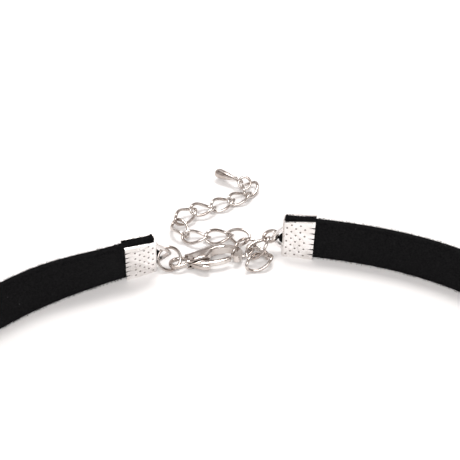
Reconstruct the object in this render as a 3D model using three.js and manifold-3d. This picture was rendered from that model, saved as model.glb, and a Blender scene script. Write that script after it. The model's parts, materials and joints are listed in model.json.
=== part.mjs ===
// A velvet ribbon choker: a flat ribbon standing on its lower edge in an almost closed loop, a
// toothed ribbon crimp on each end, a lobster clasp on a jump ring at the left, and an extender of
// twisted curb links with a teardrop at the right. The clasp holds one link of the extender.
// Millimetres, +Z up. The clasp is at the back (+Y), the front of the neck faces -Y.

import * as THREE from 'three';
import Module from 'manifold-3d';

const wasm = await Module();
wasm.setup();

// ---- ribbon --------------------------------------------------------------------------------
const RIBBON_LENGTH = 310;      // along the ribbon, from one crimp fold to the other
const RIBBON_HEIGHT = 10;       // 3/8 inch ribbon, standing on its edge
const RIBBON_THICK = 1.9;
const RIBBON_STEPS = 100;
const RIBBON_STRAIGHT = 8;      // the ribbon is straight where a crimp holds it
const RIBBON_SQUARE = 0.013;    // per mm, the share of curvature that makes the loop wider than deep
const END_GAP = 28.3;           // between the two folds
const END_BACK = 1.35;          // the folds' mid-planes lie this far behind the clasp's line
const END_SKEW = 4.2;           // degrees, the right fold lies farther back than the left one
const LEFT_TURN = 19;           // degrees, each ribbon end turns away from the line of the folds
const RIGHT_TURN = 17;
const LEFT_LEAN = 10;           // degrees, the top of the left end leans inwards
const LEAN_FADE = 18;           // the lean dies away along this much ribbon past the crimp
const EDGE_ROUND = 0.3;
const RIBBON_LIFT = 0.1;        // the crimps are a little taller than the ribbon

// ---- ribbon crimps ---------------------------------------------------------------------------
const CRIMP = {
  long: 6.8, high: 10.2, sheet: 0.45, inside: 2.06, bury: 0.35,
  teeth: 7, toothDeep: 1.3, toothSlit: 0.42,
  windowLow: 2.2, windowHigh: 6.0, corner: 0.55,
  dimple: 0.24, dimpleDeep: 0.14, dimpleAlong: 0.95, dimpleUp: 0.9,
};
const LOOP = {
  low: 1.1, high: 7.6, apex: 3.2, reach: 3.6, strip: 0.4, wide: 0.8,
  nose: 0.45, noseFlat: 0.1, noseSlope: 0.25, shoulder: 0.1, foot: 0.4,
};
const RIGHT_LOOP = { ...LOOP, high: 6.9, apex: 3.9, reach: 2.5 };

// ---- chain -----------------------------------------------------------------------------------
const LINK = { long: 6.9, wide: 4.2, wire: 0.7, twist: 90 };
const SMALL_RING = { long: 4.4, wide: 3.0, wire: 0.75 };
const JUMP_RING = { across: 5.6, wire: 0.7 };
const END_RING = { across: 3.5, wire: 0.6 };
const TEARDROP = { long: 6.2, fat: 2.4, neck: 0.8, eye: 2.0, eyeWire: 0.6 };

// The links in order from the small ring on the right crimp to the teardrop. x, y and z are the
// middle of the link, heading its direction in plan, rise its slope and roll its turn about its
// length, in degrees. link_04 is the one the clasp holds.
const LINKS = [
  { link: 'link_01', x: 8.4, y: 0.5, z: 3.45, heading: 27, rise: 30, roll: 177 },
  { link: 'link_02', x: 8.2, y: -2.0, z: 1.7, heading: 26, rise: 4, roll: 28 },
  { link: 'link_03', x: 8.5, y: 1.4, z: 1.6, heading: -55, rise: 10, roll: 137 },
  { link: 'link_04', x: 5.35, y: 2.1, z: 2.1, heading: 33, rise: 7, roll: 50 },
  { link: 'link_05', x: 4.6, y: 5.5, z: 2.4, heading: -42, rise: 21, roll: 70 },
  { link: 'link_06', x: 0.55, y: 7.5, z: 1.25, heading: 2, rise: 0, roll: 12 },
  { link: 'link_07', x: -4.55, y: 7.6, z: 1.4, heading: -12, rise: 3, roll: 2 },
  { link: 'link_08', x: -7.95, y: 10.75, z: 1.6, heading: 109, rise: -1, roll: 9 },
  { link: 'link_09', x: -6.55, y: 14.95, z: 1.9, heading: 43, rise: 0, roll: 25 },
  { link: 'link_10', x: -2.3, y: 17.35, z: 1.6, heading: 18, rise: -9, roll: 4 },
  { link: 'link_11', x: 2.45, y: 19.3, z: 1.25, heading: 28, rise: -2, roll: 10 },
  { link: 'link_12', x: 6.8, y: 21.4, z: 1.15, heading: 27, rise: 1, roll: 3 },
  { link: 'link_13', x: 9.5, y: 24.2, z: 1.45, heading: 64, rise: -4, roll: 20 },
];
const JUMP_RING_PLACE = { at: [-10.75, 0.05, 2.35], along: [1, 0.25, 0], up: [-0.15, 0.6, 0.8] };
const SMALL_RING_PLACE = { x: 11.3, y: 2.7, z: 4.45, heading: 34, rise: -2, roll: 34 };
const END_RING_PLACE = { x: 8.5, y: 26.0, z: 1.9, heading: -1, rise: 5, roll: 53 };
const TEARDROP_PLACE = { x: 7.1, y: 26.55, z: 2.5, heading: 137, rise: -5, roll: 61 };

// ---- lobster clasp, in its own plane: u runs from the eye to the hook, v to the far side --------
const CLASP = {
  at: [-10.1, -0.5, 1.35], heading: 4.2, rise: 2.4, roll: -3,
  thick: 2.3, hookThick: 1.7, round: 0.35,
  eyeAt: 1.4, eyeLong: 4.5, eyeWide: 3.3, eyeHoleLong: 3.1, eyeHoleWide: 2.0, eyeThick: 0.9,
  pivot: [4.0, -0.45], hole: 0.56, slot: 1.3, play: 0.12, root: 0.85, hookFrom: 11.6,
  pin: 0.5, pinHead: 0.78, pinProud: 0.25,
};
// The slot that the lever turns in, open towards the near side.
const SLOT_OUTLINE = [
  { u: 2.9, v: -3 }, { u: 8.8, v: -3 }, { u: 8.8, v: 0.9 }, { u: 6.4, v: 0.75 }, { u: 2.9, v: 0.55 },
];
// Outline of the body, round the far side to the hook's tip and back along the claw.
const BODY_OUTLINE = [
  { u: 2.2, v: 1.0 }, { u: 4.2, v: 1.5 }, { u: 6.4, v: 2.3 }, { u: 8.4, v: 2.95 },
  { u: 10.6, v: 3.05 }, { u: 12.8, v: 2.5 }, { u: 14.4, v: 1.4 }, { u: 15.1, v: 0.0 },
  { u: 14.7, v: -1.3 }, { u: 13.7, v: -1.8 }, { u: 12.95, v: -1.5 }, { u: 13.1, v: -0.95 },
  { u: 13.8, v: -0.7 }, { u: 14.1, v: 0.0 }, { u: 13.5, v: 1.05 }, { u: 12.2, v: 1.7 },
  { u: 10.4, v: 1.9 }, { u: 8.9, v: 1.6 }, { u: 8.1, v: 0.7 }, { u: 7.2, v: -0.5 },
  { u: 5.2, v: -1.0 }, { u: 3.6, v: -1.4 }, { u: 2.4, v: -1.1 },
];
// The lever's gate and its thumb tab as bars along these points.
const GATE = [
  { u: 4.0, v: -0.45, wide: 1.6 }, { u: 6.2, v: -1.35, wide: 1.2 }, { u: 8.6, v: -1.75, wide: 1.05 },
  { u: 10.6, v: -1.65, wide: 1.0 }, { u: 12.15, v: -1.25, wide: 0.9 },
];
const TAB = [
  { u: 4.0, v: -0.6, wide: 1.5 }, { u: 5.2, v: -1.8, wide: 1.2 }, { u: 6.3, v: -2.6, wide: 1.1 },
  { u: 7.4, v: -2.9, wide: 1.0 },
];

const rad = THREE.MathUtils.degToRad;
const vec = (x, y, z) => new THREE.Vector3(x, y, z);

// ---- small tools -------------------------------------------------------------------------------

function toManifold(geometry) {
  const welded = new Map();
  const points = [];
  const index = [];
  const position = geometry.getAttribute('position');
  const count = geometry.index ? geometry.index.count : position.count;
  for (let i = 0; i < count; i++) {
    const k = geometry.index ? geometry.index.getX(i) : i;
    const p = [position.getX(k), position.getY(k), position.getZ(k)];
    const key = p.map((value) => Math.round(value * 1e5)).join(',');
    if (!welded.has(key)) {
      welded.set(key, points.length / 3);
      points.push(...p);
    }
    index.push(welded.get(key));
  }
  const faces = [];
  for (let i = 0; i < index.length; i += 3) {
    const [a, b, c] = index.slice(i, i + 3);
    if (a !== b && b !== c && c !== a) faces.push(a, b, c);
  }
  const mesh = new wasm.Mesh({
    numProp: 3,
    vertProperties: Float32Array.from(points),
    triVerts: Uint32Array.from(faces),
  });
  return new wasm.Manifold(mesh);
}

function toGeometry(solid) {
  const mesh = solid.getMesh();
  const geometry = new THREE.BufferGeometry();
  geometry.setAttribute('position', new THREE.BufferAttribute(Float32Array.from(mesh.vertProperties), 3));
  geometry.setIndex(Array.from(mesh.triVerts));
  return geometry;
}

function box(x0, x1, y0, y1, z0, z1) {
  const geometry = new THREE.BoxGeometry(x1 - x0, y1 - y0, z1 - z0);
  geometry.translate((x0 + x1) / 2, (y0 + y1) / 2, (z0 + z1) / 2);
  return toManifold(geometry);
}

function smooth(rows, steps) {
  const curve = new THREE.CatmullRomCurve3(rows.map((row) => vec(row.u, row.v, 0)), true, 'centripetal');
  return curve.getSpacedPoints(steps).slice(0, steps).map((p) => new THREE.Vector2(p.x, p.y));
}

// A plate of the given outline in the u, v plane, centred on w = 0, with rounded edges.
function plate(points, thick, round, hole) {
  const shape = new THREE.Shape(points);
  if (hole) shape.holes.push(new THREE.Path(hole));
  const geometry = new THREE.ExtrudeGeometry(shape, {
    depth: thick - 2 * round,
    bevelEnabled: round > 0,
    bevelThickness: round,
    bevelSize: round * 0.8,
    bevelOffset: -round * 0.8,
    bevelSegments: 2,
    steps: 1,
  });
  geometry.translate(0, 0, -(thick - 2 * round) / 2);
  return toManifold(geometry);
}

function oval(u, v, long, wide, steps) {
  return circle(0, 0, 0.5, steps).map((p) => new THREE.Vector2(u + p.x * long, v + p.y * wide));
}

function circle(u, v, radius, steps) {
  const points = [];
  for (let i = 0; i < steps; i++) {
    const a = (i / steps) * 2 * Math.PI;
    points.push(new THREE.Vector2(u + radius * Math.cos(a), v + radius * Math.sin(a)));
  }
  return points;
}

// The outline of a bar that follows rows of u, v and wide, with a round nose.
function barOutline(rows, steps) {
  const path = new THREE.CatmullRomCurve3(rows.map((row) => vec(row.u, row.v, 0)), false, 'centripetal');
  const width = (t) => {
    const x = t * (rows.length - 1);
    const i = Math.min(Math.floor(x), rows.length - 2);
    return rows[i].wide + (rows[i + 1].wide - rows[i].wide) * (x - i);
  };
  const left = [];
  const right = [];
  for (let i = 0; i <= steps; i++) {
    const t = i / steps;
    const p = path.getPoint(t);
    const d = path.getTangent(t);
    const half = width(t) / 2;
    left.push(new THREE.Vector2(p.x - d.y * half, p.y + d.x * half));
    right.push(new THREE.Vector2(p.x + d.y * half, p.y - d.x * half));
  }
  const end = path.getPoint(1);
  const out = path.getTangent(1);
  const nose = new THREE.Vector2(end.x + out.x * width(1) * 0.35, end.y + out.y * width(1) * 0.35);
  return [...right, nose, ...left.reverse()];
}

function wireLoop(points, wire, around) {
  const curve = new THREE.CatmullRomCurve3(points, true, 'centripetal');
  return new THREE.TubeGeometry(curve, points.length, wire / 2, around, true);
}

// An oval of round wire along x, its two ends turned against each other about x.
function ovalLink(size, steps, around) {
  const points = [];
  const halfLong = (size.long - size.wire) / 2;
  const halfWide = (size.wide - size.wire) / 2;
  for (let i = 0; i < steps; i++) {
    const a = (i / steps) * 2 * Math.PI;
    const x = halfLong * Math.cos(a);
    const y = halfWide * Math.sin(a);
    const turn = -rad(size.twist ?? 0) / 2 * Math.cos(a);
    points.push(vec(x, y * Math.cos(turn), y * Math.sin(turn)));
  }
  return wireLoop(points, size.wire, around);
}

// Lays a part made along x at its middle, by heading, rise and roll in degrees.
function layAt(geometry, row) {
  geometry.rotateX(rad(row.roll));
  geometry.rotateY(rad(-row.rise));
  geometry.rotateZ(rad(row.heading));
  geometry.translate(row.x, row.y, row.z);
  return geometry;
}

// ---- ribbon ------------------------------------------------------------------------------------

function ribbonEnds() {
  const half = END_GAP / 2;
  const dx = half * Math.cos(rad(END_SKEW));
  const dy = half * Math.sin(rad(END_SKEW));
  return {
    left: { at: vec(-dx, END_BACK - dy, 0), out: rad(LEFT_TURN), lean: rad(LEFT_LEAN) },
    right: { at: vec(dx, END_BACK + dy, 0), out: rad(180 - RIGHT_TURN), lean: 0 },
  };
}

// The ribbon's line in plan: straight in each crimp, and between them its curvature is the sum of
// an even part, a bulge, a lopsided part and the fixed part that squares the loop.
function ribbonLine(parts, steps) {
  const start = ribbonEnds().left;
  const points = [];
  let heading = start.out + Math.PI;
  let x = start.at.x;
  let y = start.at.y;
  const forward = (length, bend) => {
    points.push({ x, y, heading });
    const middle = heading + (bend * length) / 2;
    x += Math.cos(middle) * length;
    y += Math.sin(middle) * length;
    heading += bend * length;
  };
  forward(RIBBON_STRAIGHT, 0);
  const step = (RIBBON_LENGTH - 2 * RIBBON_STRAIGHT) / steps;
  for (let i = 0; i < steps; i++) {
    const a = ((i + 0.5) / steps) * Math.PI;
    const solved = parts[0] + parts[1] * Math.sin(a) + parts[2] * Math.sin(2 * a);
    forward(step, solved + RIBBON_SQUARE * Math.sin(3 * a));
  }
  forward(RIBBON_STRAIGHT, 0);
  points.push({ x, y, heading });
  return points;
}

// Solves the three parts so that the line ends on the right fold with the right heading.
function solveRibbon(steps) {
  const ends = ribbonEnds();
  const miss = (parts) => {
    const last = ribbonLine(parts, steps).at(-1);
    const want = ends.right.out + 2 * Math.PI;
    return [last.x - ends.right.at.x, last.y - ends.right.at.y, (last.heading - want) * 50];
  };
  let parts = [0.013, 0.008, 0];
  for (let round = 0; round < 30; round++) {
    const now = miss(parts);
    const columns = parts.map((_, k) => {
      const moved = parts.slice();
      moved[k] += 1e-6;
      return miss(moved).map((value, i) => (value - now[i]) / 1e-6);
    });
    const slope = new THREE.Matrix3();
    slope.set(
      columns[0][0], columns[1][0], columns[2][0],
      columns[0][1], columns[1][1], columns[2][1],
      columns[0][2], columns[1][2], columns[2][2],
    );
    const step = vec(...now).applyMatrix3(slope.invert());
    parts = [parts[0] - step.x, parts[1] - step.y, parts[2] - step.z];
  }
  return ribbonLine(parts, steps);
}

// The lean of the ribbon at a distance past the left crimp.
function leanAt(past) {
  const faded = Math.min(past / LEAN_FADE, 1);
  return (rad(LEFT_LEAN) * (1 + Math.cos(faded * Math.PI))) / 2;
}

// A leaning end turns about the crimp's inner lower edge, which stays on the floor.
function leanLift(lean) {
  return (CRIMP.inside / 2 + CRIMP.sheet) * Math.sin(lean);
}

function ribbonGeometry() {
  const line = solveRibbon(RIBBON_STEPS);
  const half = RIBBON_THICK / 2;
  const r = EDGE_ROUND;
  const top = RIBBON_HEIGHT;
  const bent = RIBBON_LENGTH - 2 * RIBBON_STRAIGHT;
  const section = [
    [half, r], [half, top - r], [half - r, top], [-half + r, top],
    [-half, top - r], [-half, r], [-half + r, 0], [half - r, 0],
  ];
  const positions = [];
  const index = [];
  const n = section.length;
  for (const [i, row] of line.entries()) {
    const inset = i === 0 ? CRIMP.bury : i === line.length - 1 ? -CRIMP.bury : 0;
    const past = Math.max(0, i - 1) * (bent / RIBBON_STEPS);
    const lean = leanAt(past);
    for (const [side, z] of section) {
      const up = z + RIBBON_LIFT;
      const across = side * Math.cos(lean) + up * Math.sin(lean);
      positions.push(
        row.x + Math.cos(row.heading) * inset - Math.sin(row.heading) * across,
        row.y + Math.sin(row.heading) * inset + Math.cos(row.heading) * across,
        up * Math.cos(lean) - side * Math.sin(lean) + leanLift(lean),
      );
    }
  }
  for (let i = 0; i + 1 < line.length; i++) {
    for (let k = 0; k < n; k++) {
      const a = i * n + k;
      const b = i * n + ((k + 1) % n);
      index.push(a, b, a + n, b, b + n, a + n);
    }
  }
  const last = (line.length - 1) * n;
  for (let k = 1; k + 1 < n; k++) {
    index.push(0, k + 1, k);
    index.push(last, last + k, last + k + 1);
  }
  const geometry = new THREE.BufferGeometry();
  geometry.setAttribute('position', new THREE.Float32BufferAttribute(positions, 3));
  geometry.setIndex(index);
  return geometry;
}

// ---- crimps ------------------------------------------------------------------------------------
// Made with the fold's outer face at x = 0, the loop towards +x and the toothed mouth towards -x.

function crimpShell() {
  const c = CRIMP;
  const half = c.inside / 2 + c.sheet;
  const outline = [new THREE.Vector2(-c.long, -half)];
  for (const side of [-1, 1]) {
    for (const turn of [0, 30, 60, 90]) {
      const a = rad(side < 0 ? 90 - turn : turn);
      const x = c.corner * (Math.cos(a) - 1);
      outline.push(new THREE.Vector2(x, side * (half - c.corner + c.corner * Math.sin(a))));
    }
  }
  outline.push(new THREE.Vector2(-c.long, half));
  const outer = new THREE.ExtrudeGeometry(new THREE.Shape(outline), { depth: c.high, bevelEnabled: false });
  const inner = box(-c.long - 1, -c.sheet, -c.inside / 2, c.inside / 2, -1, c.high + 1);
  return toManifold(outer).subtract(inner);
}

function crimpCuts() {
  const c = CRIMP;
  const half = c.inside / 2 + c.sheet;
  const cuts = [box(-c.sheet - 0.2, 0.2, -c.inside / 2, c.inside / 2, c.windowLow, c.windowHigh)];
  const pitch = c.high / c.teeth;
  for (let i = 1; i < c.teeth; i++) {
    const z = i * pitch;
    const slit = new THREE.Shape([
      new THREE.Vector2(-c.long - 0.1, z - c.toothSlit / 2), new THREE.Vector2(-c.long + c.toothDeep, z),
      new THREE.Vector2(-c.long - 0.1, z + c.toothSlit / 2),
    ]);
    const geometry = new THREE.ExtrudeGeometry(slit, { depth: 2 * half + 2, bevelEnabled: false });
    geometry.rotateX(Math.PI / 2);
    geometry.translate(0, half + 1, 0);
    cuts.push(toManifold(geometry));
  }
  return cuts;
}

// Small four-sided dimples in staggered rows on both outer faces.
function crimpDimples() {
  const c = CRIMP;
  const half = c.inside / 2 + c.sheet;
  const dimples = [];
  for (let row = 1; row * c.dimpleUp < c.high - 0.5; row++) {
    const shift = row % 2 ? 0 : c.dimpleAlong;
    for (let x = -0.95 - shift; x > -c.long + c.toothDeep + 0.3; x -= 2 * c.dimpleAlong) {
      for (const side of [-1, 1]) {
        const geometry = new THREE.ConeGeometry(c.dimple * 2, c.dimpleDeep * 2, 4);
        if (side > 0) geometry.rotateX(Math.PI);
        geometry.translate(x, side * half, row * c.dimpleUp);
        dimples.push(toManifold(geometry));
      }
    }
  }
  return dimples;
}

function crimpLoop(loop) {
  const { low, high, apex, reach, strip, nose, noseFlat, noseSlope, shoulder, foot } = loop;
  const post = 1.9 * strip;
  const inner = reach - strip;
  const outline = [
    [-foot, low], [shoulder, low], [reach - noseSlope, apex - nose], [reach, apex - noseFlat],
    [reach, apex + noseFlat], [reach - noseSlope, apex + nose], [shoulder, high], [-foot, high],
  ];
  const hole = [
    [-1.5 * foot, low + post], [shoulder / 2, low + post], [inner - strip / 2, apex - nose + noseFlat],
    [inner, apex], [inner - strip / 2, apex + nose - noseFlat], [shoulder / 2, high - post],
    [-1.5 * foot, high - post],
  ];
  const [solid, gap] = [outline, hole].map((rows, i) => {
    const wide = loop.wide + i;
    const shape = new THREE.Shape(rows.map(([x, z]) => new THREE.Vector2(x, z)));
    const geometry = new THREE.ExtrudeGeometry(shape, { depth: wide, bevelEnabled: false });
    geometry.rotateX(Math.PI / 2);
    geometry.translate(0, wide / 2, 0);
    return toManifold(geometry);
  });
  return solid.subtract(gap);
}

function crimpGeometry(end, loop) {
  let solid = crimpShell().add(crimpLoop(loop));
  for (const cut of [...crimpCuts(), ...crimpDimples()]) solid = solid.subtract(cut);
  const geometry = toGeometry(solid);
  geometry.translate(CRIMP.sheet / 2, 0, 0);
  geometry.rotateX(end.lean);
  geometry.rotateZ(end.out);
  geometry.translate(end.at.x, end.at.y, leanLift(end.lean));
  return geometry;
}

// ---- rings and the left jump ring -----------------------------------------------------------------

function ringGeometry(across, wire, steps, around) {
  const size = { long: across, wide: across, wire };
  return ovalLink(size, steps, around);
}

// A ring at a point, on two directions of its own plane.
function placeRing(geometry, place) {
  const x = vec(...place.along).normalize();
  const z = x.clone().cross(vec(...place.up)).normalize();
  const y = z.clone().cross(x);
  geometry.applyMatrix4(new THREE.Matrix4().makeBasis(x, y, z));
  geometry.translate(...place.at);
  return geometry;
}

// ---- clasp ---------------------------------------------------------------------------------------

function placeClasp(geometry) {
  geometry.rotateX(rad(CLASP.roll));
  geometry.rotateY(rad(-CLASP.rise));
  geometry.rotateZ(rad(CLASP.heading));
  geometry.translate(...CLASP.at);
  return geometry;
}

function post(radius, length, u, v) {
  const geometry = new THREE.CylinderGeometry(radius, radius, length, 14);
  geometry.rotateX(Math.PI / 2);
  geometry.translate(u, v, 0);
  return toManifold(geometry);
}

function claspBody() {
  const c = CLASP;
  const body = plate(smooth(BODY_OUTLINE, 56), c.thick, c.round);
  const eye = plate(
    oval(c.eyeAt, 0, c.eyeLong, c.eyeWide, 22), c.eyeThick, 0.25,
    oval(c.eyeAt, 0, c.eyeHoleLong, c.eyeHoleWide, 18).reverse(),
  );
  const slot = new THREE.Shape(SLOT_OUTLINE.map((row) => new THREE.Vector2(row.u, row.v)));
  const slotGeometry = new THREE.ExtrudeGeometry(slot, { depth: c.slot, bevelEnabled: false });
  slotGeometry.translate(0, 0, -c.slot / 2);
  const far = 2 * c.thick;
  const thin = [-1, 1].map((side) => {
    const [low, high] = [(side * c.hookThick) / 2, side * far].sort((a, b) => a - b);
    return box(c.hookFrom, c.hookFrom + far, -far, far, low, high);
  });
  const eyeRoom = plate(oval(c.eyeAt, 0, c.eyeLong, c.eyeWide, 22), 4, 0);
  let solid = body.subtract(eyeRoom).add(eye);
  solid = solid.subtract(toManifold(slotGeometry));
  solid = solid.subtract(post(c.hole, 4, ...c.pivot));
  for (const cut of thin) solid = solid.subtract(cut);
  return placeClasp(toGeometry(solid));
}

function claspLever() {
  const c = CLASP;
  const thick = c.slot - 2 * c.play;
  const gate = plate(barOutline(GATE, 14), thick, 0.2);
  const tab = plate(barOutline(TAB, 8), thick, 0.2);
  const root = plate(circle(...c.pivot, c.root, 16), thick, 0.15);
  const solid = gate.add(tab).add(root).subtract(post(c.hole, 4, ...c.pivot));
  return placeClasp(toGeometry(solid));
}

function claspRivet() {
  const c = CLASP;
  const half = c.thick / 2;
  const seat = half + 0.2 * c.pinProud;
  const dome = half + 0.9 * c.pinProud;
  const top = half + c.pinProud;
  const profile = [
    [0, -top], [c.pin, -dome], [c.pinHead, -seat], [c.pin, -seat],
    [c.pin, seat], [c.pinHead, seat], [c.pin, dome], [0, top],
  ].map(([radius, along]) => new THREE.Vector2(radius, along));
  const geometry = new THREE.LatheGeometry(profile, 14);
  geometry.rotateX(Math.PI / 2);
  geometry.translate(...c.pivot, 0);
  return placeClasp(geometry);
}

// ---- teardrop --------------------------------------------------------------------------------------

// Made along x, its eye at x = 0 and the fat end towards +x.
function teardropGeometry() {
  const t = TEARDROP;
  const profile = [new THREE.Vector2(0, 0)];
  for (let i = 0; i <= 9; i++) {
    const s = i / 9;
    const swell = t.neck / 2 + (t.fat - t.neck) / 2 * Math.sin((s * Math.PI) / 2) ** 1.3;
    profile.push(new THREE.Vector2(swell, s * (t.long - t.fat / 2)));
  }
  for (let i = 1; i < 5; i++) {
    const a = (i / 5) * (Math.PI / 2);
    const r = t.fat / 2;
    profile.push(new THREE.Vector2(r * Math.cos(a), t.long - r + r * Math.sin(a)));
  }
  profile.push(new THREE.Vector2(0, t.long));
  const drop = new THREE.LatheGeometry(profile, 16);
  drop.rotateZ(-Math.PI / 2);
  drop.translate(t.eye / 2 - 0.15, 0, 0);
  const eye = ringGeometry(t.eye + t.eyeWire, t.eyeWire, 14, 8);
  return toGeometry(toManifold(drop).add(toManifold(eye)));
}

// ---- the whole -------------------------------------------------------------------------------------

const group = new THREE.Group();

function addMesh(name, geometry, colour, roughness, metalness) {
  const material = new THREE.MeshStandardMaterial({ color: colour, roughness, metalness });
  const mesh = new THREE.Mesh(geometry, material);
  mesh.name = name;
  group.add(mesh);
}

function addMetal(name, geometry) {
  addMesh(name, geometry, 0xc8c6c3, 0.15, 1.0);
}

const ends = ribbonEnds();
addMesh('velvet_ribbon', ribbonGeometry(), 0x060607, 0.95, 0.0);
addMetal('crimp_left', crimpGeometry(ends.left, LOOP));
addMetal('crimp_right', crimpGeometry(ends.right, RIGHT_LOOP));
addMetal('jump_ring', placeRing(ringGeometry(JUMP_RING.across, JUMP_RING.wire, 22, 8), JUMP_RING_PLACE));
addMetal('clasp_body', claspBody());
addMetal('clasp_lever', claspLever());
addMetal('clasp_rivet', claspRivet());
addMetal('small_ring', layAt(ovalLink(SMALL_RING, 16, 8), SMALL_RING_PLACE));
for (const row of LINKS) addMetal(row.link, layAt(ovalLink(LINK, 20, 8), row));
addMetal('end_ring', layAt(ringGeometry(END_RING.across, END_RING.wire, 16, 8), END_RING_PLACE));
addMetal('teardrop', layAt(teardropGeometry(), TEARDROP_PLACE));

// The origin is the middle of the bounding box, on the floor.
const bounds = new THREE.Box3().setFromObject(group);
const middle = bounds.getCenter(vec(0, 0, 0));
for (const mesh of group.children) mesh.geometry.translate(-middle.x, -middle.y, -bounds.min.z);

export default group;
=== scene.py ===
"""A black velvet ribbon choker with silver-coloured ends, clasp and extender chain.

Lengths are in millimetres in the layout's own frame until to_frame() puts them in the CAD frame.
"""

import json
import math
import random

import bmesh
import bpy
import numpy as np
from mathutils import Matrix, Vector


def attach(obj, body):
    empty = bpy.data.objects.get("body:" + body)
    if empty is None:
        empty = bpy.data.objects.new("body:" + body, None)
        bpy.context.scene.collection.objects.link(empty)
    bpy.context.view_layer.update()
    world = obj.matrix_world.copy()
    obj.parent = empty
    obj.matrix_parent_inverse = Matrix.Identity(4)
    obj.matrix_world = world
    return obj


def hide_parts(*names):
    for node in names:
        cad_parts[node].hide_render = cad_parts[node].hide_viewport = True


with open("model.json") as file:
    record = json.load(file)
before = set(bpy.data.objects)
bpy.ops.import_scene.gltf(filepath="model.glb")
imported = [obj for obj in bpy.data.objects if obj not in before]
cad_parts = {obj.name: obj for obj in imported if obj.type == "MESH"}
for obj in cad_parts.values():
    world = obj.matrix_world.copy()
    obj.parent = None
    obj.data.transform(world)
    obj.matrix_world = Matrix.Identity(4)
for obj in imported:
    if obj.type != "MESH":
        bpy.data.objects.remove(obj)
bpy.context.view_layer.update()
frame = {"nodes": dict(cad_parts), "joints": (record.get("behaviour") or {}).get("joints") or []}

MM = 0.001

# ---- sizes shared with the CAD, in millimetres and degrees ------------------------------------

RIBBON = {"long": 310, "high": 10, "thick": 1.9, "straight": 8, "steps": 100, "lift": 0.1, "square": 0.013}
ENDS = {"gap": 28.3, "back": 1.35, "skew": 4.2, "left_turn": 19, "right_turn": 17, "lean": 10, "fade": 18}
CRIMP = {"long": 6.8, "high": 10.2, "sheet": 0.45, "inside": 2.06, "window": (2.2, 6.0)}
LINK = {"long": 6.9, "wide": 4.2, "wire": 0.7, "twist": 90}
SMALL_RING = {"long": 4.4, "wide": 3.0, "wire": 0.75, "twist": 0}
JUMP_RING = {"long": 5.6, "wide": 5.6, "wire": 0.7, "twist": 0}
END_RING = {"long": 3.5, "wide": 3.5, "wire": 0.6, "twist": 0}
TEARDROP = {"long": 6.2, "fat": 2.4, "neck": 0.8, "eye": 2.0, "eye_wire": 0.6}
CLASP = {"at": (-10.1, -0.5, 1.35), "heading": 4.2, "rise": 2.4, "roll": -3, "pivot": (4.0, -0.45)}

# The rings and links: name, size, middle, heading, rise and roll.
CHAIN = [
    ("small_ring", SMALL_RING, (11.3, 2.7, 4.45), 34, -2, 34),
    ("link_01", LINK, (8.4, 0.5, 3.45), 27, 30, 177),
    ("link_02", LINK, (8.2, -2.0, 1.7), 26, 4, 28),
    ("link_03", LINK, (8.5, 1.4, 1.6), -55, 10, 137),
    ("link_04", LINK, (5.35, 2.1, 2.1), 33, 7, 50),
    ("link_05", LINK, (4.6, 5.5, 2.4), -42, 21, 70),
    ("link_06", LINK, (0.55, 7.5, 1.25), 2, 0, 12),
    ("link_07", LINK, (-4.55, 7.6, 1.4), -12, 3, 2),
    ("link_08", LINK, (-7.95, 10.75, 1.6), 109, -1, 9),
    ("link_09", LINK, (-6.55, 14.95, 1.9), 43, 0, 25),
    ("link_10", LINK, (-2.3, 17.35, 1.6), 18, -9, 4),
    ("link_11", LINK, (2.45, 19.3, 1.25), 28, -2, 10),
    ("link_12", LINK, (6.8, 21.4, 1.15), 27, 1, 3),
    ("link_13", LINK, (9.5, 24.2, 1.45), 64, -4, 20),
    ("end_ring", END_RING, (8.5, 26.0, 1.9), -1, 5, 53),
]
TEARDROP_PLACE = ((7.1, 26.55, 2.5), 137, -5, 61)
JUMP_RING_PLACE = {"at": (-10.75, 0.05, 2.35), "along": (1, 0.25, 0), "up": (-0.15, 0.6, 0.8)}

# ---- sizes of the looks alone, in millimetres and degrees --------------------------------------

# The velvet's visible band is a little slimmer than the ribbon, to leave room for its fibres.
BAND = {"slimmer": 0.15, "lower": 0.1, "round": 0.55, "corner_steps": 4, "gap": 0.8, "inset": 0.05}

# The velvet bulging over a fold: where it starts, how deep it is, and the room the fold leaves for it.
LIP = {"from": 0.0, "deep": 0.75, "room": 0.8, "shares": (0.0, 0.12, 0.3, 0.6, 1.0)}

# The velvet poking out of each fold's window: how far it starts inside the fold, how far it keeps from the
# window's ends, the steps round and along it, and how bluntly it narrows. Then, for each end, how far out it
# goes, the height of its tip, and its thickness.
TUFT_SHAPE = {"inside": 0.3, "margin": 0.1, "around": 16, "rows": 8, "blunt": 1.6, "least": 0.01}
TUFTS = [
    {"name": "left_velvet_tuft", "out": 1.7, "tip": 3.4, "thick": 1.3},
    {"name": "right_velvet_tuft", "out": 1.15, "tip": 3.9, "thick": 1.3},
]

# The fibres: how many, their length and half width, and the running share of those on the ribbon's top,
# then along the foot of its faces, then along their top edges. The rest are spread over the faces.
PILE = {
    "count": 26000, "seed": 4, "gap": 0.25, "long": (0.18, 0.36), "wide": (0.04, 0.08), "sway": 0.5,
    "top": 0.45, "feet": 0.6, "edges": 0.8, "clear_of_crimp": 0.25, "above_floor": 0.03,
}

# Rounded edges in millimetres, the angles that pick them out, and the size of a stamped pit's faces, which
# get painted shade.
EDGES = {"sheet": 0.05, "body": 0.05, "pin": 0.04, "bevel_from": 50, "sharp_from": 40, "pit_sharp_from": 20}
PIT_FACE_MM2 = 0.12


# ---- frames ------------------------------------------------------------------------------------

def turned(heading, rise, roll):
    turn = Matrix.Rotation(math.radians(heading), 4, "Z")
    turn = turn @ Matrix.Rotation(math.radians(-rise), 4, "Y")
    return turn @ Matrix.Rotation(math.radians(roll), 4, "X")


def laid(at, heading, rise, roll):
    return Matrix.Translation(at) @ turned(heading, rise, roll)


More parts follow.
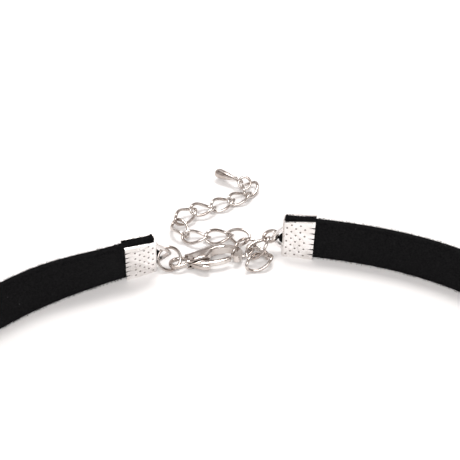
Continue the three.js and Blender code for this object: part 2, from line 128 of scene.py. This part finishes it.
clasp_place = laid(CLASP["at"], CLASP["heading"], CLASP["rise"], CLASP["roll"])
pivot_at = clasp_place @ Vector((*CLASP["pivot"], 0))
hinge_at = Vector(frame["joints"][0]["pos_m"]) / MM
SHIFT = hinge_at - pivot_at


def to_frame(points, place=Matrix()):
    """Points in millimetres, placed in the layout, as metres in the CAD frame."""
    move = Matrix.Translation(SHIFT) @ place
    return [tuple((move @ Vector(p)) * MM) for p in points]


def new_piece(name, points, faces, material, nodes=(), body="necklace"):
    mesh = bpy.data.meshes.new(name)
    mesh.from_pydata(points, [], faces)
    mesh.validate()
    piece = bpy.data.objects.new(name, mesh)
    bpy.context.scene.collection.objects.link(piece)
    finish_piece(piece, material, nodes, body)
    return piece


def finish_piece(piece, material, nodes, body):
    piece.data.shade_smooth()
    piece.data.materials.clear()
    piece.data.materials.append(material)
    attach(piece, body)
    if nodes:
        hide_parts(*nodes)


# ---- materials ----------------------------------------------------------------------------------

def material_of(name, colour, metallic, roughness):
    material = bpy.data.materials.new(name)
    material.use_nodes = True
    nodes = material.node_tree.nodes
    shader = nodes["Principled BSDF"]
    shader.inputs["Base Color"].default_value = (*colour, 1)
    shader.inputs["Metallic"].default_value = metallic
    shader.inputs["Roughness"].default_value = roughness
    return material, material.node_tree, shader


def noise(tree, scale, detail, source="Object"):
    place = tree.nodes.new("ShaderNodeTexCoord")
    texture = tree.nodes.new("ShaderNodeTexNoise")
    texture.inputs["Scale"].default_value = scale
    texture.inputs["Detail"].default_value = detail
    tree.links.new(place.outputs[source], texture.inputs["Vector"])
    return texture.outputs["Fac"]


def ramp(tree, value, stops):
    node = tree.nodes.new("ShaderNodeValToRGB")
    elements = node.color_ramp.elements
    while len(elements) < len(stops):
        elements.new(0.5)
    for element, (at, colour) in zip(elements, stops):
        element.position = at
        element.color = (*colour, 1)
    tree.links.new(value, node.inputs["Fac"])
    return node.outputs["Color"]


def add_bump(tree, shader, height, strength, distance):
    bump = tree.nodes.new("ShaderNodeBump")
    bump.inputs["Strength"].default_value = strength
    bump.inputs["Distance"].default_value = distance
    tree.links.new(height, bump.inputs["Height"])
    tree.links.new(bump.outputs["Normal"], shader.inputs["Normal"])


def metal_material(name, tones, roughness, patch, bump_mm):
    """Bright plating: patches of slightly duller metal and shallow uneven waves."""
    material, tree, shader = material_of(name, tones[1], 1.0, roughness)
    dull = noise(tree, 900, 3)
    spread = tree.nodes.new("ShaderNodeMapRange")
    spread.inputs["From Min"].default_value = 0.35
    spread.inputs["From Max"].default_value = 0.65
    spread.inputs["To Min"].default_value = roughness - patch
    spread.inputs["To Max"].default_value = roughness + patch
    tree.links.new(dull, spread.inputs["Value"])
    tree.links.new(spread.outputs["Result"], shader.inputs["Roughness"])
    tone = ramp(tree, noise(tree, 380, 2), [(0.35, tones[0]), (0.65, tones[1])])
    tree.links.new(tone, shader.inputs["Base Color"])
    add_bump(tree, shader, noise(tree, 700, 2), 0.35, bump_mm * MM)
    return material


def velvet_material(name, light):
    """Black pile: a fine uneven nap, a little sheen and a few specks of pale lint."""
    material, tree, shader = material_of(name, (0.004, 0.004, 0.005), 0.0, 0.95)
    dark, pale = (0.0015, 0.0015, 0.002), (light, light, light * 1.05)
    nap = ramp(tree, noise(tree, 2600, 4), [(0.3, dark), (0.75, pale)])
    lint = ramp(tree, noise(tree, 1500, 1), [(0.80, (0, 0, 0)), (0.86, (0.10, 0.095, 0.10))])
    both = tree.nodes.new("ShaderNodeMix")
    both.data_type = "RGBA"
    both.blend_type = "ADD"
    both.inputs["Factor"].default_value = 1.0
    tree.links.new(nap, both.inputs["A"])
    tree.links.new(lint, both.inputs["B"])
    tree.links.new(both.outputs["Result"], shader.inputs["Base Color"])
    shader.inputs["Specular IOR Level"].default_value = 0.1
    shader.inputs["Sheen Weight"].default_value = 0.03
    shader.inputs["Sheen Roughness"].default_value = 0.4
    shader.inputs["Sheen Tint"].default_value = (0.5, 0.48, 0.55, 1)
    add_bump(tree, shader, noise(tree, 4200, 3), 0.8, 0.12 * MM)
    return material


def pit_shade_material(name):
    """Painted shade in the bottoms of the stamped pits: a dark brown colour stands in for the shade that
    falls in them.
    """
    material, tree, shader = material_of(name, (0.14, 0.1, 0.085), 1.0, 0.55)
    tone = ramp(tree, noise(tree, 900, 2), [(0.3, (0.07, 0.05, 0.042)), (0.7, (0.2, 0.155, 0.135))])
    tree.links.new(tone, shader.inputs["Base Color"])
    return material


plated = metal_material("bright_plating", ((0.47, 0.41, 0.375), (0.7, 0.66, 0.63)), 0.14, 0.05, 0.02)
stamped = metal_material("stamped_plating", ((0.82, 0.79, 0.77), (0.93, 0.91, 0.9)), 0.3, 0.06, 0.02)
# The pits' material is painted shade: dark brown colour in place of the shade inside the stamped pits.
pit_painted_shade = pit_shade_material("stamped_pits_painted_shade")
velvet = velvet_material("black_velvet", 0.009)
fibre = velvet_material("velvet_fibre", 0.006)


# ---- ribbon --------------------------------------------------------------------------------------

def ribbon_ends():
    half, skew = ENDS["gap"] / 2, math.radians(ENDS["skew"])
    dx, dy = half * math.cos(skew), half * math.sin(skew)
    left, right = math.radians(ENDS["left_turn"]), math.radians(ENDS["right_turn"])
    return ((-dx, ENDS["back"] - dy), left), ((dx, ENDS["back"] + dy), math.pi - right)


def ribbon_line(parts, steps):
    """x, y, heading and distance along the ribbon: straight in each crimp and bent between them."""
    (x, y), out = ribbon_ends()[0]
    heading, along = out + math.pi, 0.0
    straight = RIBBON["straight"]
    step = (RIBBON["long"] - 2 * straight) / steps
    moves = [(straight, 0.0)]
    for i in range(steps):
        a = (i + 0.5) / steps * math.pi
        solved = parts[0] + parts[1] * math.sin(a) + parts[2] * math.sin(2 * a)
        moves.append((step, solved + RIBBON["square"] * math.sin(3 * a)))
    moves.append((straight, 0.0))
    line = []
    for length, bend in moves:
        line.append((x, y, heading, along))
        middle = heading + bend * length / 2
        x, y = x + math.cos(middle) * length, y + math.sin(middle) * length
        heading, along = heading + bend * length, along + length
    line.append((x, y, heading, along))
    return line


def solved_ribbon(steps):
    (right, out) = ribbon_ends()[1]

    def miss(parts):
        x, y, heading, _ = ribbon_line(parts, steps)[-1]
        return np.array([x - right[0], y - right[1], (heading - out - 2 * math.pi) * 50])

    parts = np.array([0.013, 0.008, 0.0])
    for _ in range(30):
        now = miss(parts)
        slope = np.array([(miss(parts + np.eye(3)[k] * 1e-6) - now) / 1e-6 for k in range(3)]).T
        parts = parts - np.linalg.solve(slope, now)
    return ribbon_line(parts, steps)


def lean_at(along):
    past = max(0.0, along - RIBBON["straight"])
    faded = min(past / ENDS["fade"], 1.0)
    return math.radians(ENDS["lean"]) * (1 + math.cos(faded * math.pi)) / 2


def ribbon_point(row, side, up):
    """A point of the ribbon: side is inwards from its middle and up is from its lower edge."""
    x, y, heading, along = row
    lean = lean_at(along)
    rise = up + RIBBON["lift"]
    across = side * math.cos(lean) + rise * math.sin(lean)
    lift = (CRIMP["inside"] / 2 + CRIMP["sheet"]) * math.sin(lean)
    z = rise * math.cos(lean) - side * math.sin(lean) + lift
    return (x - math.sin(heading) * across, y + math.cos(heading) * across, z)


def row_at(line, along):
    """The ribbon's line at any distance, between two of its rows."""
    for a, b in zip(line, line[1:]):
        if along <= b[3]:
            share = (along - a[3]) / (b[3] - a[3])
            return tuple(p + (q - p) * share for p, q in zip(a, b))
    return line[-1]


def band_rows(line, gap):
    """Even rows along the ribbon, from just inside one fold to just inside the other."""
    start = CRIMP["sheet"] + BAND["inset"]
    stop = RIBBON["long"] - CRIMP["sheet"] - BAND["inset"]
    count = int((stop - start) / gap)
    return [row_at(line, start + (stop - start) * i / count) for i in range(count + 1)]


def band_section(thick, high, round_mm, steps):
    """A flat section with round edges, as side and up."""
    half = thick / 2
    corners = [(half - round_mm, high - round_mm, 0), (-half + round_mm, high - round_mm, 90),
               (-half + round_mm, round_mm, 180), (half - round_mm, round_mm, 270)]
    section = []
    for side, up, first in corners:
        for i in range(steps + 1):
            a = math.radians(first + 90 * i / steps)
            section.append((side + round_mm * math.cos(a), up + round_mm * math.sin(a)))
    return section


def lip_rows(line, section, end):
    """The ribbon's cut end where its top bulges out over the fold, from the tip inwards."""
    high = RIBBON["high"] - BAND["lower"]
    middle = high - LIP["deep"] / 2
    rows = []
    for share in LIP["shares"]:
        out = LIP["from"] + share * (CRIMP["sheet"] - LIP["from"])
        row = row_at(line, out if end == 0 else RIBBON["long"] - out)
        narrow = math.sqrt(1 - (1 - share) ** 2) * 0.9 + 0.08
        deep = LIP["deep"] * narrow
        squeezed = [(side * narrow, middle + (up / high - 0.5) * deep) for side, up in section]
        rows.append([ribbon_point(row, side, up) for side, up in squeezed])
    return rows if end == 0 else rows[::-1]


def velvet_band(line):
    thick, high = RIBBON["thick"] - BAND["slimmer"], RIBBON["high"] - BAND["lower"]
    section = band_section(thick, high, BAND["round"], BAND["corner_steps"])
    rows = [[ribbon_point(row, side, up) for side, up in section] for row in band_rows(line, BAND["gap"])]
    rows = lip_rows(line, section, 0) + rows + lip_rows(line, section, 1)
    points, faces = [], []
    n = len(section)
    for row in rows:
        points += row
    for i in range(len(rows) - 1):
        for k in range(n):
            a, b = i * n + k, i * n + (k + 1) % n
            faces.append((a, a + n, b + n, b))
    faces.append(tuple(range(n)))
    faces.append(tuple(reversed(range((len(rows) - 1) * n, len(rows) * n))))
    return new_piece("velvet_band", to_frame(points), faces, velvet, ["velvet_ribbon"])


def velvet_tuft(end):
    """The ribbon's end where it pokes out through the fold's window, inside the loop."""
    tuft = TUFTS[end]
    (x, y), out = ribbon_ends()[end]
    shape = TUFT_SHAPE
    low, high = CRIMP["window"][0] + shape["margin"], CRIMP["window"][1] - shape["margin"]
    around, rows = shape["around"], shape["rows"]
    start = -CRIMP["sheet"] - shape["inside"]
    points, faces = [], []
    for i in range(rows + 1):
        share = i / rows
        size = math.sqrt(max(1 - share ** shape["blunt"], shape["least"]))
        reach = start + (tuft["out"] - start) * share
        middle = (low + high) / 2 * (1 - share) + tuft["tip"] * share
        for k in range(around):
            a = k / around * 2 * math.pi
            side = tuft["thick"] / 2 * size * math.cos(a)
            up = middle + (high - low) / 2 * size * math.sin(a)
            along_x = math.cos(out) * reach - math.sin(out) * side
            along_y = math.sin(out) * reach + math.cos(out) * side
            points.append((x + along_x, y + along_y, up))
    for i in range(rows):
        for k in range(around):
            a, b = i * around + k, i * around + (k + 1) % around
            faces.append((a, b, b + around, a + around))
    faces.append(tuple(reversed(range(around))))
    faces.append(tuple(range(rows * around, (rows + 1) * around)))
    return new_piece(tuft["name"], to_frame(points), faces, velvet)


def velvet_pile(line):
    """Short fibres that break up the ribbon's edges and faces, none where a crimp's plates are."""
    rng = random.Random(PILE["seed"])
    rows = band_rows(line, PILE["gap"])
    half, high = (RIBBON["thick"] - BAND["slimmer"]) / 2, RIBBON["high"] - BAND["lower"]
    # Each place is its side and height, its outward and upward lean, and whether it is on a face.
    places = []
    for _ in range(PILE["count"]):
        kind = rng.random()
        if kind < PILE["top"]:
            side = rng.uniform(-half, half)
            places.append((side, high - 0.12, rng.uniform(-0.5, 0.5), 1.0, False))
            continue
        inner_or_outer = rng.choice((-1, 1))
        if kind < PILE["feet"]:
            places.append((inner_or_outer * (half - 0.05), rng.uniform(0.0, 0.5), 1.0, -0.1, True))
        elif kind < PILE["edges"]:
            up = rng.uniform(high - 0.9, high - 0.2)
            places.append((inner_or_outer * (half - 0.1), up, 0.8, 0.7, True))
        else:
            places.append((inner_or_outer * (half - 0.05), rng.uniform(0.3, high - 0.3), 1.0, 0.2, True))
    points, faces = [], []
    held = CRIMP["long"] + PILE["clear_of_crimp"]
    for side, up, out, rise, on_face in places:
        row = rows[rng.randrange(len(rows))]
        if on_face and not held < row[3] < RIBBON["long"] - held:
            continue
        length = rng.uniform(*PILE["long"])
        if on_face:
            out *= math.copysign(1.0, side)
        sway = rng.uniform(-PILE["sway"], PILE["sway"])
        width = rng.uniform(*PILE["wide"])
        size = math.hypot(out, rise)
        tip = (side + out / size * length, up + rise / size * length)
        heading = row[2]
        ahead = (math.cos(heading), math.sin(heading))
        base = ribbon_point(row, side, up)
        top = ribbon_point(row, *tip)
        first = len(points)
        points.append((base[0] - ahead[0] * width, base[1] - ahead[1] * width, base[2]))
        points.append((base[0] + ahead[0] * width, base[1] + ahead[1] * width, base[2]))
        lean = sway * length
        points.append((top[0] + ahead[0] * lean, top[1] + ahead[1] * lean, max(top[2], PILE["above_floor"])))
        faces.append((first, first + 1, first + 2))
    return new_piece("velvet_pile", to_frame(points), faces, fibre)


# ---- chain and rings --------------------------------------------------------------------------------

def swept(path, radius, around):
    """A closed round wire along a closed path, as points and quads."""
    count = len(path)
    path = [Vector(p) for p in path]
    points, faces = [], []
    side = (path[1] - path[-1]).orthogonal().normalized()
    sides = []
    for i in range(count):
        ahead = (path[(i + 1) % count] - path[i - 1]).normalized()
        side = (side - ahead * side.dot(ahead)).normalized()
        sides.append((ahead, side.copy()))
    ahead, first = sides[0]
    closing = (side - ahead * side.dot(ahead)).normalized()
    slip = math.atan2(closing.cross(first).dot(ahead), closing.dot(first))
    for i, (ahead, side) in enumerate(sides):
        for k in range(around):
            a = k / around * 2 * math.pi + slip * i / count
            out = Matrix.Rotation(a, 3, ahead) @ side
            points.append(path[i] + out * radius)
    for i in range(count):
        for k in range(around):
            a, b = i * around + k, i * around + (k + 1) % around
            c = (i + 1) % count * around
            faces.append((a, b, c + (k + 1) % around, c + k))
    return points, faces


def oval_path(size, steps):
    """An oval along x whose two ends are turned against each other."""
    half_long, half_wide = (size["long"] - size["wire"]) / 2, (size["wide"] - size["wire"]) / 2
    path = []
    for i in range(steps):
        a = i / steps * 2 * math.pi
        turn = -math.radians(size["twist"]) / 2 * math.cos(a)
        y = half_wide * math.sin(a)
        path.append((half_long * math.cos(a), y * math.cos(turn), y * math.sin(turn)))
    return path


def chain_piece(node, size, at, heading, rise, roll):
    points, faces = swept(oval_path(size, 56), size["wire"] / 2, 14)
    name = node.replace("link", "curb_link") if "link" in node else node + "_wire"
    return new_piece(name, to_frame(points, laid(at, heading, rise, roll)), faces, plated, [node])


def jump_ring():
    x = Vector(JUMP_RING_PLACE["along"]).normalized()
    z = x.cross(Vector(JUMP_RING_PLACE["up"])).normalized()
    y = z.cross(x)
    place = Matrix.Translation(JUMP_RING_PLACE["at"]) @ Matrix((x, y, z)).transposed().to_4x4()
    points, faces = swept(oval_path(JUMP_RING, 64), JUMP_RING["wire"] / 2, 16)
    return new_piece("jump_ring_wire", to_frame(points, place), faces, plated, ["jump_ring"])


def lathed(profile, around):
    """A closed body turned about x from rows of distance along and radius, points at both ends."""
    points, faces = [(profile[0][0], 0, 0)], []
    for along, radius in profile[1:-1]:
        for k in range(around):
            a = k / around * 2 * math.pi
            points.append((along, radius * math.cos(a), radius * math.sin(a)))
    points.append((profile[-1][0], 0, 0))
    last = len(points) - 1
    for k in range(around):
        b = (k + 1) % around
        faces.append((0, 1 + b, 1 + k))
        faces.append((last, last - around + k, last - around + b))
    for i in range(len(profile) - 3):
        for k in range(around):
            a, b = 1 + i * around + k, 1 + i * around + (k + 1) % around
            faces.append((a, b, b + around, a + around))
    return points, faces


def teardrop():
    t = TEARDROP
    start = t["eye"] / 2 - 0.15
    cone = t["long"] - t["fat"] / 2
    profile = [(start, 0)]
    for i in range(25):
        s = i / 24
        swell = t["neck"] / 2 + (t["fat"] - t["neck"]) / 2 * math.sin(s * math.pi / 2) ** 1.3
        profile.append((start + s * cone, swell))
    for i in range(1, 12):
        a = i / 12 * math.pi / 2
        profile.append((start + cone + t["fat"] / 2 * math.sin(a), t["fat"] / 2 * math.cos(a)))
    profile.append((start + t["long"], 0))
    points, faces = lathed(profile, 40)
    across = t["eye"] + t["eye_wire"]
    eye = {"long": across, "wide": across, "wire": t["eye_wire"], "twist": 0}
    ring_points, ring_faces = swept(oval_path(eye, 40), t["eye_wire"] / 2, 12)
    first = len(points)
    points += [tuple(p) for p in ring_points]
    faces += [tuple(first + k for k in face) for face in ring_faces]
    placed = to_frame(points, laid(*TEARDROP_PLACE))
    return new_piece("teardrop_drop", placed, faces, plated, ["teardrop"])


# ---- crimps and clasp, from their solids ----------------------------------------------------------------

def lower_fold(work, end):
    """Lowers the fold's top edge, which leaves room for the velvet that bulges over it."""
    (x, y), out = ribbon_ends()[end]
    ahead = Vector((math.cos(out), math.sin(out), 0))
    fold = Vector(to_frame([(x, y, 0)])[0])
    for vert in work.verts:
        along = (vert.co - fold).dot(ahead) / MM
        if along > -CRIMP["sheet"] and vert.co.z / MM > CRIMP["high"] - 0.5:
            vert.co.z -= LIP["room"] * MM


def rounded_copy(node, name, material, round_mm, body="necklace", end=None):
    """The node's own solid with its sharp edges rounded over."""
    mesh = frame["nodes"][node].data.copy()
    work = bmesh.new()
    work.from_mesh(mesh)
    bmesh.ops.remove_doubles(work, verts=work.verts, dist=0.0005 * MM)
    if end is not None:
        lower_fold(work, end)
    flat = math.radians(1.0)
    bmesh.ops.dissolve_limit(work, angle_limit=flat, verts=work.verts, edges=work.edges)
    work.to_mesh(mesh)
    work.free()
    piece = bpy.data.objects.new(name, mesh)
    bpy.context.scene.collection.objects.link(piece)
    bevel = piece.modifiers.new("rounded_edges", "BEVEL")
    bevel.width = round_mm * MM
    bevel.segments = 2
    bevel.limit_method = "ANGLE"
    bevel.angle_limit = math.radians(EDGES["bevel_from"])
    finish_piece(piece, material, [node], body)
    sharp = EDGES["sharp_from"] if end is None else EDGES["pit_sharp_from"]
    mesh.set_sharp_from_angle(angle=math.radians(sharp))
    return piece


def crimp_plate(node, name, end):
    """A crimp's rounded solid, with its small sloping pit faces in a dark material that paints shade into the
    pits.
    """
    piece = rounded_copy(node, name, stamped, EDGES["sheet"], end=end)
    piece.data.materials.append(pit_painted_shade)
    for face in piece.data.polygons:
        # The small three-sided pit faces get the painted shade.
        if face.area < PIT_FACE_MM2 * MM ** 2 and len(face.vertices) == 3:
            face.material_index = 1


# ---- studio, in metres -----------------------------------------------------------------------------------

LIGHTS_AIM = (0, 0.03, 0)
LIGHTS = [
    {
        "name": "key", "at": (0.06, 0.24, 0.66), "size": (0.3, 0.2), "watts": 2.6,
        "colour": (1.0, 0.985, 0.97),
    },
    {
        "name": "front_fill", "at": (-0.12, -0.45, 0.55), "size": (0.5, 0.3), "watts": 2.4,
        "colour": (1.0, 0.99, 0.985),
    },
]
ROOM = [(0.4, (0.09, 0.06, 0.05)), (0.5, (0.42, 0.37, 0.35)), (0.6, (0.98, 0.96, 0.95))]
HAZE = {"colour": (0.9, 0.88, 0.87, 1), "full_below": 0.12, "none_above": 0.3}
CAMERA = {"lens": 54.0, "sensor": 36.0, "stand": (-9.23, -108.88, 101.1), "aim": (3.36, 10.94, 0)}


def floor():
    half = 3.0
    mesh = bpy.data.meshes.new("floor")
    corners = [(-half, -half, 0), (half, -half, 0), (half, half, 0), (-half, half, 0)]
    mesh.from_pydata(corners, [], [(0, 1, 2, 3)])
    piece = bpy.data.objects.new("floor", mesh)
    bpy.context.scene.collection.objects.link(piece)
    material, _, shader = material_of("pale_floor", (0.93, 0.925, 0.925), 0.0, 0.9)
    shader.inputs["Specular IOR Level"].default_value = 0.0
    mesh.materials.append(material)


def area_light(name, at, size, watts, colour):
    data = bpy.data.lights.new(name, "AREA")
    data.shape = "RECTANGLE"
    data.size, data.size_y = size
    data.energy = watts
    data.color = colour
    light = bpy.data.objects.new(name, data)
    bpy.context.scene.collection.objects.link(light)
    light.location = at
    light.rotation_euler = (Vector(LIGHTS_AIM) - Vector(at)).to_track_quat("-Z", "Y").to_euler()


def studio():
    """Two soft lights in a room of brown and white patches, with a pale haze low down all round."""
    for light in LIGHTS:
        area_light(**light)
    world = bpy.data.worlds.new("studio_world")
    bpy.context.scene.world = world
    world.use_nodes = True
    tree = world.node_tree
    background = tree.nodes["Background"]
    direction = tree.nodes.new("ShaderNodeTexCoord")
    height = tree.nodes.new("ShaderNodeSeparateXYZ")
    tree.links.new(direction.outputs["Generated"], height.inputs["Vector"])
    haze = tree.nodes.new("ShaderNodeMix")
    haze.data_type = "RGBA"
    fade = [(HAZE["full_below"], (1, 1, 1)), (HAZE["none_above"], (0, 0, 0))]
    low_down = ramp(tree, height.outputs["Z"], fade)
    tree.links.new(low_down, haze.inputs["Factor"])
    tree.links.new(ramp(tree, noise(tree, 2.2, 2, source="Generated"), ROOM), haze.inputs["A"])
    haze.inputs["B"].default_value = HAZE["colour"]
    tree.links.new(haze.outputs["Result"], background.inputs["Color"])
    background.inputs["Strength"].default_value = 1.0
    bpy.context.scene.view_settings.view_transform = "Standard"


def camera():
    """Looks about 40 degrees down on the back of the loop, from over its front."""
    data = bpy.data.cameras.new("camera")
    data.sensor_width = CAMERA["sensor"]
    data.lens = CAMERA["lens"]
    data.clip_start = 0.005
    view = bpy.data.objects.new("camera", data)
    bpy.context.scene.collection.objects.link(view)
    stand, aim = to_frame([CAMERA["stand"], CAMERA["aim"]])
    view.location = stand
    view.rotation_euler = (Vector(aim) - Vector(stand)).to_track_quat("-Z", "Y").to_euler()
    bpy.context.scene.camera = view


# ---- the whole ---------------------------------------------------------------------------------------------

camera()
studio()
floor()

line = solved_ribbon(RIBBON["steps"])
band = velvet_band(line)
pile = velvet_pile(line)
velvet_tuft(0)
velvet_tuft(1)
for row in CHAIN:
    chain_piece(*row)
jump_ring()
teardrop()
crimp_plate("crimp_left", "left_crimp_plate", 0)
crimp_plate("crimp_right", "right_crimp_plate", 1)
rounded_copy("clasp_body", "clasp_housing", plated, EDGES["body"])
rounded_copy("clasp_rivet", "clasp_pin", plated, EDGES["pin"])
rounded_copy("clasp_lever", "clasp_gate", plated, EDGES["body"], "clasp_lever")
